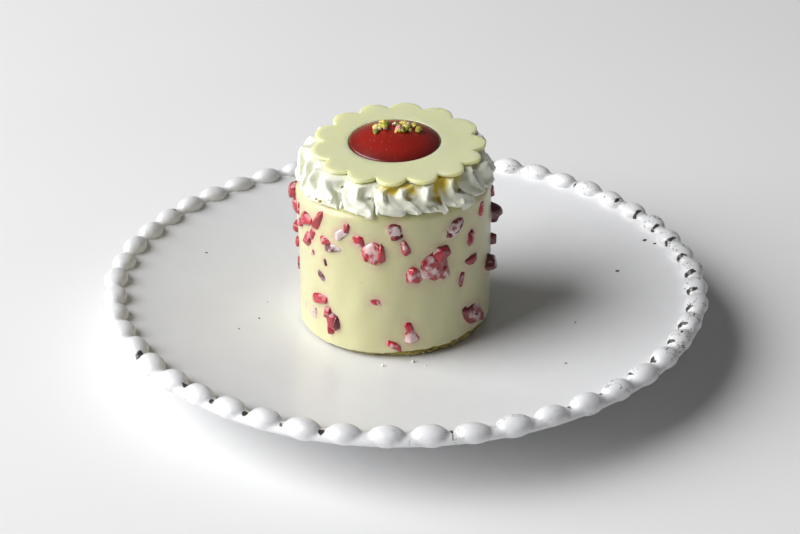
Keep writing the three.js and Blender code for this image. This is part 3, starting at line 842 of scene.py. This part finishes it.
def makeBiscuit():
    radius, bottom, top = biscuitSet["radius"], biscuitSet["bottom"], biscuitSet["top"]
    profile = [(0.8, bottom), (20, bottom), (radius - 0.8, bottom), (radius - 0.3, bottom + 0.2)]
    profile += [(radius, bottom + 0.6 + 0.35 * index) for index in range(7)]
    profile += [(radius - 0.3, top - 0.3), (radius - 0.9, top), (20, top), (0.8, top)]
    biscuit = reshape(ringUp("biscuit_round", profile, biscuitSet["sides"]), crumble)
    editAll(biscuit)
    bpy.ops.transform.vertex_random(offset=biscuitSet["roughness"] * mm, seed=8)
    bpy.ops.object.mode_set(mode="OBJECT")
    return ontoAxis(joinUp("biscuit_round", [biscuit, *looseCrumb()]))


def makeCrumb():
    material, tree, shader = newMaterial(
        "baked crumb", {"Roughness": 0.85, "Specular IOR Level": 0.2})
    colour = blend(tree, mottle(tree, 1.6, 2.2), (0.34, 0.27, 0.06), (0.62, 0.53, 0.19))
    colour = blend(tree, specks(tree, 1.6, 0.4, 0.3), colour, (0.16, 0.09, 0.02))
    dress(tree, shader, colour, mottle(tree, 0.8, 2.0, 3.0), 0.4)
    return material


biscuit = makeBiscuit()
finishPiece(biscuit, makeCrumb(), "biscuit")
print("biscuit made")

# Piped cream: one star-shaped shell, bent along a curl and set round the top
creamSet = {
    "frontTurns": [-38, -17, -1, 10, 26], "others": 17, "innerRadius": 24.0, "coreRadius": 28.5,
    "thickness": 10.6, "points": 5, "ridges": (1.0, 0.73, 0.48, 0.73), "sections": 20,
    "twist": 60.0, "swell": (0.24, 0.74, 0.8), "bottom": 62.2, "sink": 3.2, "drawnIn": 2.0,
    "voxel": 0.3,
    "stroke": [
        (3.0, -20.5, 0.3), (0.4, -24.8, 0.3), (-2.3, -27.4, -0.8), (-2.0, -29.0, -2.6),
        (0.6, -30.6, -3.8), (3.8, -32.6, -4.8)],
    "pressMargin": 10, "pressGap": 0.3, "footRadius": 32.6,
}
frillSet = {
    "count": 58, "width": 2.5, "tip": 0.24, "length": 3.4,
    "grow": (0.7, 1.15), "stretch": (0.75, 1.2), "dip": (-0.75, -0.15), "veer": (-0.2, 0.9),
    "radius": (31.6, 32.5), "lift": (1.0, 2.0),
}


def creamRoom(turn):  # room for the cream between the cake's top and the disc, at a shell's middle
    y = cakeY - creamSet["innerRadius"] * math.cos(math.radians(turn))
    slope = math.tan(math.radians(discPlace["tilt"]))
    under = discPlace["top"] - discPlace["thickness"] + (y - discPlace["y"]) * slope
    return under - creamSet["bottom"]


def drawnIn(turn):  # the ring is drawn in at the left
    return creamSet["drawnIn"] * max(0, math.cos(math.radians(turn + 90))) ** 2


def shellTurns():
    front, others = creamSet["frontTurns"], creamSet["others"]
    step = (360 + front[0] - front[-1]) / (others + 1)
    return front + [front[-1] + step * (index + 1) for index in range(others)]


def drawStroke():
    clearSelection()
    bpy.ops.curve.primitive_bezier_curve_add()
    stroke = bpy.context.object
    stroke.data.twist_mode = "MINIMUM"
    spline = stroke.data.splines[0]
    spline.resolution_u = 24
    spline.bezier_points.add(len(creamSet["stroke"]) - 2)
    for point, place in zip(spline.bezier_points, creamSet["stroke"]):
        point.co = Vector(place) * mm
        point.handle_left_type = point.handle_right_type = "AUTO"
    bpy.context.view_layer.update()
    return stroke


def shellSwell(share):
    start, length, power = creamSet["swell"]
    return max(0.1, math.sin(math.pi * (start + length * share)) ** power)


def modelShell():
    ridges, sections = creamSet["ridges"], creamSet["sections"]
    stroke = drawStroke()
    length, swell = stroke.data.splines[0].calc_length(), shellSwell(0)
    clearSelection()
    bpy.ops.mesh.primitive_circle_add(
        vertices=len(ridges) * creamSet["points"], radius=creamSet["thickness"] / 2 * mm * swell)
    shell = bpy.context.object
    editAll(shell)
    for index, share in enumerate(ridges):  # the flanks and grooves are pulled in
        drawInStep(shell, len(ridges), index, share)
    bpy.ops.mesh.select_all(action="SELECT")
    step, twist = (0, 0, length / sections), math.radians(creamSet["twist"] / sections)
    for section in range(1, sections + 1):
        share = section / sections
        middle = (0, 0, length * share)
        bpy.ops.mesh.extrude_region_move(TRANSFORM_OT_translate={"value": step})
        grow, swell = shellSwell(share) / swell, shellSwell(share)
        bpy.ops.transform.resize(value=(grow, grow, 1), center_override=middle)
        bpy.ops.transform.rotate(value=twist, orient_axis="Z", center_override=middle)
    closeForm()
    smoothOver(shell, 1)
    applyModifier(shell, "CURVE", object=stroke, deform_axis="POS_Z")
    throwAway(stroke)
    return shell


def makeCreamBed():
    core, inner, bottom = creamSet["coreRadius"], creamSet["innerRadius"], creamSet["bottom"]
    profile = [
        (0.8, bottom - 2), (core, bottom - 2), (core, bottom), (core + 0.4, bottom + 2),
        (inner + 2, bottom + 8.5), (inner, bottom + 14), (0.8, bottom + 14)]
    return ringUp("cream_bed", profile, 90)


def modelCutter(radius, place):
    clearSelection()
    bpy.ops.mesh.primitive_cylinder_add(
        vertices=96, radius=radius * mm, depth=20 * mm, location=[side * mm for side in place])
    return settle(bpy.context.object)


def cutOff(piece, cutter):
    applyModifier(piece, "BOOLEAN", object=cutter, operation="DIFFERENCE", solver="EXACT")
    throwAway(cutter)


def frills():  # small drawn-out points along the lower edge
    pick = random.Random(47)
    clearSelection()
    bpy.ops.mesh.primitive_cone_add(
        vertices=12, radius1=frillSet["width"] / 2 * mm, radius2=frillSet["tip"] / 2 * mm,
        depth=frillSet["length"] * mm)
    tip = smoothOver(bpy.context.object, 1)
    tips = []
    for index in range(frillSet["count"]):
        turn = -180 + index * 360 / frillSet["count"] + jitter(pick, 2.2)
        twin = twinOf(tip)
        twin.scale = [pick.uniform(*frillSet[name]) for name in ("grow", "grow", "stretch")]
        dip, veer = pick.uniform(*frillSet["dip"]), pick.uniform(*frillSet["veer"])
        twin.rotation_euler = (math.pi / 2 - dip, 0, math.radians(turn) + veer)
        radius = pick.uniform(*frillSet["radius"]) - drawnIn(turn)
        twin.location = around(turn, radius, creamSet["bottom"] + pick.uniform(*frillSet["lift"]))
        tips.append(settle(twin))
    throwAway(tip)
    return tips


def drift(point, size):  # a smooth shift that is the same on every run
    place = point / size
    offsets = [Vector((offset, -2 * offset, offset)) for offset in (3.7, 17.3, 31.9)]
    return Vector([noise.noise(place + offset) for offset in offsets])


def bendCream(point):  # soft hand-piped unevenness, none of it down at the cake's top
    free = min(1, max(0, (point.z - creamSet["bottom"]) / 3))
    large, small = drift(point, 9) * 1.9, drift(point, 3.1) * 0.6
    return point + Vector((large.x + small.x, large.y + small.y, (large.z + small.z) * free))


def makeCream():
    pick = random.Random(23)
    shell = modelShell()
    shells = []
    for turn in shellTurns():
        twin = twinOf(shell)
        size = pick.uniform(0.9, 1.1)
        stretch = creamRoom(turn) / creamRoom(0)
        twin.scale = (size, 1, size * stretch)
        leans = jitter(pick, 0.03), jitter(pick, 0.1)
        twin.rotation_euler = (*leans, math.radians(turn + jitter(pick, 1.5)))
        height = creamSet["bottom"] + creamRoom(turn) - creamSet["sink"] * stretch
        twin.location = Vector((drawnIn(turn), 0, height)) * mm
        shells.append(twin)
    throwAway(shell)
    cream = settle(joinUp("piped_cream_ring", [makeCreamBed(), *shells, *frills()]))
    ontoAxis(reshape(cream, bendCream))
    melt(cream, creamSet["voxel"], 1)
    # the disc presses the cream flat, and the cake's top holds it up
    lift = 10 - discPlace["thickness"] - creamSet["pressGap"]
    press = modelCutter(discPlace["radius"] + creamSet["pressMargin"], (0, 0, lift))
    cutOff(cream, ontoCake(press))
    cutOff(cream, modelCutter(creamSet["footRadius"], (cakeX, cakeY, creamSet["bottom"] - 10)))
    pickOnly(cream)
    bpy.ops.object.shade_smooth_by_angle(angle=math.radians(50))
    return cream


def makeWhippedCream():
    material, tree, shader = newMaterial("whipped cream", {
        "Roughness": 0.45, "Specular IOR Level": 0.4, "Subsurface Weight": 0.25,
        "Subsurface Radius": (1.0, 0.95, 0.8), "Subsurface Scale": 0.0025})
    colour = blend(tree, mottle(tree, 5.0, 1.3), (0.77, 0.78, 0.64), (0.85, 0.86, 0.745))
    # painted yellow light: the folds under the disc's front are tinted where light coming through
    # the yellow disc falls into them
    place = objectPlace(tree)
    sides, reach = splitPlace(tree, place), awayFrom(tree, place, cakeX * mm, cakeY * mm)
    near = between(tree, sides["Y"], -0.019, -0.024)
    right = between(tree, sides["X"], -0.009, -0.004)
    patches = between(tree, mottle(tree, 6.0, 2.0, 5.0), 0.3, 0.55)
    deep = times(tree, between(tree, reach, 0.0298, 0.0276), patches)
    discLightFolds = times(tree, deep, times(tree, near, right))
    # the folds take the painted yellow light
    colour = blend(tree, discLightFolds, colour, (0.84, 0.66, 0.10))
    dress(tree, shader, colour, mottle(tree, 1.2, 1.2, 3.0), 0.1)
    return material


cream = makeCream()
finishPiece(cream, makeWhippedCream(), "piped_cream")
print("cream made")

# Disc: rounded lobes with sharp notches between them, and an off-centre hole
discSet = {
    # in degrees from the right, over the back
    "notches": [-155, -130, -107, -84, -60, -36, -13, 12.5, 43, 70, 97, 122, 148, 175],
    "steps": 12, "notchDepth": 4.0, "roundness": 0.75, "edge": 0.3, "wave": 0.35,
    "roundTo": 17, "roundFade": 6,
}


def waveDisc(point):  # bends the disc and spaces its notches as they are, leaving the hole round
    reach, angle = math.hypot(point.x, point.y), math.degrees(math.atan2(point.y, point.x))
    notches = discSet["notches"]
    even = [index * 360 / len(notches) for index in range(len(notches) + 1)]
    spaced = [notch - notches[0] for notch in notches] + [360]
    fromFirst = (angle - notches[0]) % 360
    share = min(1, max(0, (reach - discSet["roundTo"]) / discSet["roundFade"]))
    turned = math.radians(angle + (numpy.interp(fromFirst, even, spaced) - fromFirst) * share)
    bend = math.sin(2 * turned + math.pi + 1.2)
    rise = discSet["wave"] * (reach / discPlace["radius"]) ** 2 * bend
    return reach * math.cos(turned), reach * math.sin(turned), point.z + rise


def makeDisc():
    notches, steps = discSet["notches"], discSet["steps"]
    sides, first = len(notches) * steps, math.radians(notches[0] - 90)
    clearSelection()
    bpy.ops.mesh.primitive_circle_add(vertices=sides, radius=discPlace["radius"] * mm)
    disc = bpy.context.object
    for step in range(steps):  # the same step of every lobe is drawn in together
        lobe = math.sin(math.pi * step / steps) ** discSet["roundness"]
        drawInStep(disc, steps, step, 1 - discSet["notchDepth"] / discPlace["radius"] * (1 - lobe))
    bpy.ops.object.mode_set(mode="OBJECT")
    disc.rotation_euler.z = first  # the circle starts at the back
    settle(disc)
    clearSelection()
    bpy.ops.mesh.primitive_circle_add(
        vertices=sides, radius=jellyPlace["hole"] * mm,
        location=(jellyPlace["x"] * mm, jellyPlace["y"] * mm, 0), rotation=(0, 0, first))
    disc = joinUp("scalloped_disc", [settle(bpy.context.object), disc])
    editAll(disc)
    bpy.ops.mesh.bridge_edge_loops(number_cuts=5, interpolation="LINEAR")
    bpy.ops.mesh.select_all(action="SELECT")
    down = (0, 0, -discPlace["thickness"] * mm)
    bpy.ops.mesh.extrude_region_move(TRANSFORM_OT_translate={"value": down})
    bpy.ops.mesh.select_all(action="SELECT")
    bpy.ops.mesh.normals_make_consistent(inside=False)
    bpy.ops.object.mode_set(mode="OBJECT")
    applyModifier(
        disc, "BEVEL", width=discSet["edge"] * mm, segments=3, limit_method="ANGLE",
        angle_limit=math.radians(50))
    reshape(disc, waveDisc)
    bpy.ops.object.shade_smooth_by_angle(angle=math.radians(40))
    return ontoCake(disc)


def makeWhiteChocolate():
    material, tree, shader = newMaterial("white chocolate", {
        "Subsurface Weight": 0.8, "Subsurface Radius": (1.0, 0.85, 0.3), "Subsurface Scale": 0.004})
    colour = blend(tree, mottle(tree, 9.0, 1.2, 1.0), (0.86, 0.84, 0.44), (0.915, 0.895, 0.53))
    roughen(tree, shader, 6.0, 0.3, 0.45)
    dress(tree, shader, colour, mottle(tree, 4.0, 1.0, 2.0), 0.06)
    return material


disc = makeDisc()
finishPiece(disc, makeWhiteChocolate(), "chocolate_disc")
print("disc made")

# Jelly dome and chopped nuts
jellySet = {"rise": 3.4, "gap": 0.3, "sides": 120, "steps": 30, "power": 2.2}
jellyRadius = jellyPlace["hole"] - jellySet["gap"]
nutSet = {
    # each cluster: across from the jelly's middle, half its spread, count
    "clusters": [(-4.5, 3.1, 19), (4.3, 4.4, 26)], "y": 2.7, "depth": 3.7,
    "smallest": 1.2, "largest": 2.7, "forms": 5,
    "tones": [0.08, 0.25, 0.25, 0.42, 0.42, 0.58, 0.58, 0.58, 0.75, 0.92],
    "colours": [(0.78, 0.36, 0.38), (0.20, 0.24, 0.03), (0.55, 0.52, 0.06), (0.90, 0.78, 0.22),
                (0.95, 0.66, 0.20), (0.92, 0.84, 0.58)],
}


def domeHeight(distance):
    share = min(distance, jellyRadius) / jellyRadius
    return jellySet["rise"] * (1 - share ** jellySet["power"])


def intoHole(piece):  # from the jelly's own middle to its tilted place
    piece.location = Vector((jellyPlace["x"], jellyPlace["y"], 0)) * mm
    return ontoCake(settle(piece))


def makeJelly():
    radius, low, steps = jellyRadius, -discPlace["thickness"], jellySet["steps"]
    shares = [1 - index / steps for index in range(steps)]
    profile = [(0.4, low), (8, low), (radius - 0.2, low), (radius, low + 0.3), (radius, -0.2)]
    profile += [(radius * share, domeHeight(radius * share)) for share in shares]
    profile.append((0.3, jellySet["rise"]))
    return intoHole(ringUp("jelly_crown", profile, jellySet["sides"]))


def makeNuts():
    pick = random.Random(31)
    chips = [modelLump(1, 0.45, seed + 60, crease=0.6) for seed in range(nutSet["forms"])]
    crumbs = []
    for middle, spread, count in nutSet["clusters"]:
        for index in range(count):
            size = pick.uniform(nutSet["smallest"], nutSet["largest"]) / 2
            x = middle + spread * pick.triangular(-1, 1, 0)
            y = nutSet["y"] + nutSet["depth"] * jitter(pick, 1)
            crumb = twinOf(chips[index % len(chips)])
            crumb.scale = (size * pick.uniform(1.0, 1.5), size, size * pick.uniform(0.45, 0.8))
            crumb.rotation_euler = (jitter(pick, 0.6), jitter(pick, 0.6), pick.uniform(0, 3))
            rise = size * 0.4 + (0.4 * pick.random() if index % 3 == 0 else 0)
            crumb.location = Vector((x, y, domeHeight(math.hypot(x, y)) + rise)) * mm
            mark(crumb, "tone", [pick.choice(nutSet["tones"])] * len(crumb.data.vertices))
            crumbs.append(crumb)
    throwAway(*chips)
    return intoHole(settle(joinUp("chopped_nuts", crumbs)))


def makeJellyRed():
    material, tree, shader = newMaterial("red jelly", {
        "Coat Weight": 0.35, "Coat Roughness": 0.3, "Subsurface Weight": 0.4,
        "Subsurface Radius": (1.0, 0.08, 0.05), "Subsurface Scale": 0.003})
    colour = blend(tree, mottle(tree, 6.0, 1.4), (0.25, 0.005, 0.002), (0.38, 0.012, 0.003))
    # the dome is painted darker towards its edge: painted shade and dark reflection on its steeper
    # sides
    middle = spot(tree, discPlace["x"] + jellyPlace["x"], discPlace["y"] + jellyPlace["y"], 13.0)
    edge = between(tree, middle, 0.0, 1.0, 0.75, 0.0)
    colour = blend(tree, edge, colour, (0.10, 0.002, 0.001))
    bubbles = specks(tree, 1.3, 0.3, 0.35)
    colour = blend(tree, times(tree, bubbles, 0.35), colour, (0.55, 0.16, 0.12))
    roughen(tree, shader, 4.0, 0.24, 0.4, 1.2)
    pits = times(tree, bubbles, -0.6)
    dress(tree, shader, colour, calc(tree, "ADD", mottle(tree, 1.2, 0.6, 2.0), pits), 0.15)
    return material


def makeNutTones():
    material, tree, shader = newMaterial("chopped pistachio", {"Roughness": 0.55})
    ramp = addNode(tree, "ValToRGB")
    ramp.color_ramp.interpolation = "CONSTANT"
    steps, colours = ramp.color_ramp.elements, nutSet["colours"]
    while len(steps) < len(colours):
        steps.new(0.5)
    for index, colour in enumerate(colours):
        steps[index].position = index / len(colours)
        steps[index].color = (*colour, 1.0)
    tree.links.new(attribute(tree, "tone"), ramp.inputs["Fac"])
    dark = times(tree, mottle(tree, 0.8, 1.8, 2.0), 0.3)
    colour = blend(tree, dark, ramp.outputs["Color"], (0.22, 0.18, 0.03))
    dress(tree, shader, colour, mottle(tree, 0.5, 1.6, 3.0), 0.2)
    return material


jelly = makeJelly()
nuts = makeNuts()
finishPiece(jelly, makeJellyRed(), "jelly_dome")
finishPiece(nuts, makeNutTones(), "jelly_dome")
print("jelly and nuts made")

# Loose crumbs: across, inwards, height, size
creamCrumbs = [(2.4, -42.7, 11.5, 0.7), (-7.3, -45.4, 11.8, 0.6), (6.4, -45.7, 11.5, 0.4)]
cakeCrumbs = [(-19.0, -34.4, 69.7, 0.7), (-26.2, -33.2, 64.3, 0.9), (-27.4, -32.4, 64.8, 0.6)]


def scatterCrumbs(name, places, seed):
    pick = random.Random(seed)
    lump = modelLump(1, 0.35, seed, levels=1)
    crumbs = []
    for across, inward, height, size in places:
        crumb = twinOf(lump)
        crumb.scale = (size * 1.2, size, size * 0.7)
        crumb.rotation_euler.z = pick.uniform(0, 3)
        crumb.location = Vector((across, inward, height)) * mm
        crumbs.append(settle(crumb))
    throwAway(lump)
    return joinUp(name, crumbs)


finishPiece(scatterCrumbs("cream_crumbs", creamCrumbs, 91), cream.data.materials[0], "piped_cream")
finishPiece(scatterCrumbs("cake_crumbs", cakeCrumbs, 92), biscuit.data.materials[0], "biscuit")
print("crumbs made")
